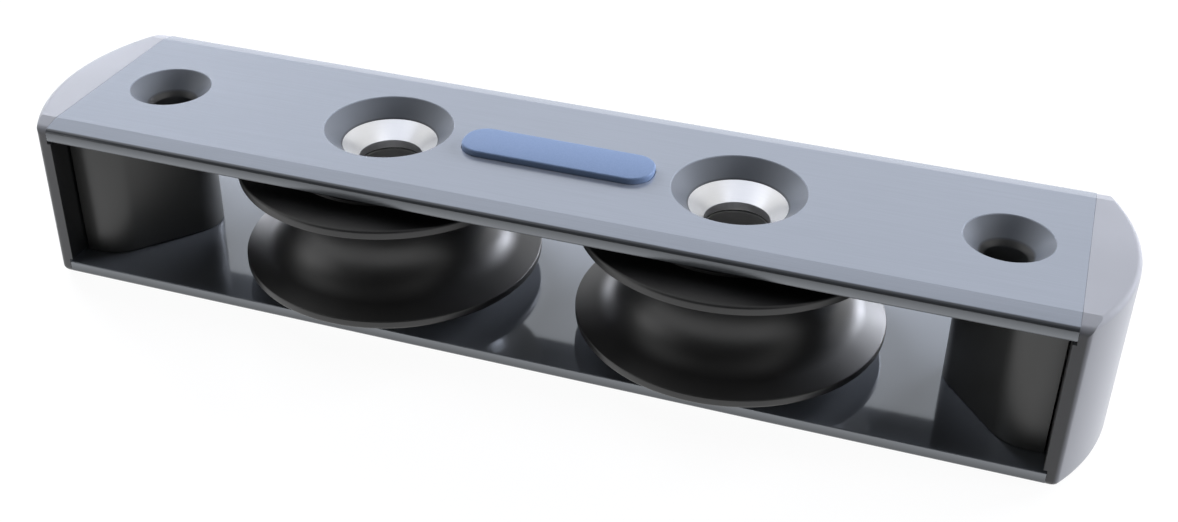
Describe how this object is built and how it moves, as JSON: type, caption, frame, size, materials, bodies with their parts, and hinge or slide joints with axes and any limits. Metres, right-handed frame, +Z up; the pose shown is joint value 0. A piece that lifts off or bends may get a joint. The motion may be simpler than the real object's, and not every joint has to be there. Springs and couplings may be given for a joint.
{
  "type": "deck organizer",
  "caption": "Low deck turning block for a yacht: grooved sheaves side by side between bolted plates, with fairlead blocks and moulded end caps.",
  "frame": {"origin": "on the deck, under the middle of the base plate", "axes": "+X along the plates to the right end, +Y away from the front edge, +Z up from the deck along the sheave axes"},
  "size_m": [0.1748, 0.049, 0.0293],
  "materials": {
    "anodised_plate": "satin grey anodised",
    "moulded_grey": "smooth grey moulding",
    "black_acetal": "satin black",
    "hard_anodised_hub": "hard anodised, dark",
    "polished_stainless": "polished stainless steel",
    "bearing_plastic": "natural bearing plastic",
    "badge_plastic": "satin blue, blank"
  },
  "bodies": {
    "frame": {"top_plate": "anodised_plate", "base_plate": "anodised_plate", "end_cap_left": "moulded_grey", "end_cap_right": "moulded_grey", "fairlead_block_left": "black_acetal", "fairlead_block_right": "black_acetal", "hub_left": "hard_anodised_hub", "hub_right": "hard_anodised_hub", "bolt_seat_left": "polished_stainless", "bolt_seat_right": "polished_stainless", "lower_thrust_washer_left": "bearing_plastic", "lower_thrust_washer_right": "bearing_plastic", "upper_thrust_washer_left": "bearing_plastic", "upper_thrust_washer_right": "bearing_plastic", "badge": "badge_plastic"},
    "sheave_left": {"sheave_left": "black_acetal", "sheave_bushing_left": "bearing_plastic"},
    "sheave_right": {"sheave_right": "black_acetal", "sheave_bushing_right": "bearing_plastic"}
  },
  "joints": [
    {"name": "sheave_left_spin", "type": "hinge", "parent": "frame", "child": "sheave_left", "pos_m": [-0.0289, 0, 0.0146], "axis": [0, 0, 1], "continuous": true},
    {"name": "sheave_right_spin", "type": "hinge", "parent": "frame", "child": "sheave_right", "pos_m": [0.0289, 0, 0.0146], "axis": [0, 0, 1], "continuous": true}
  ]
}
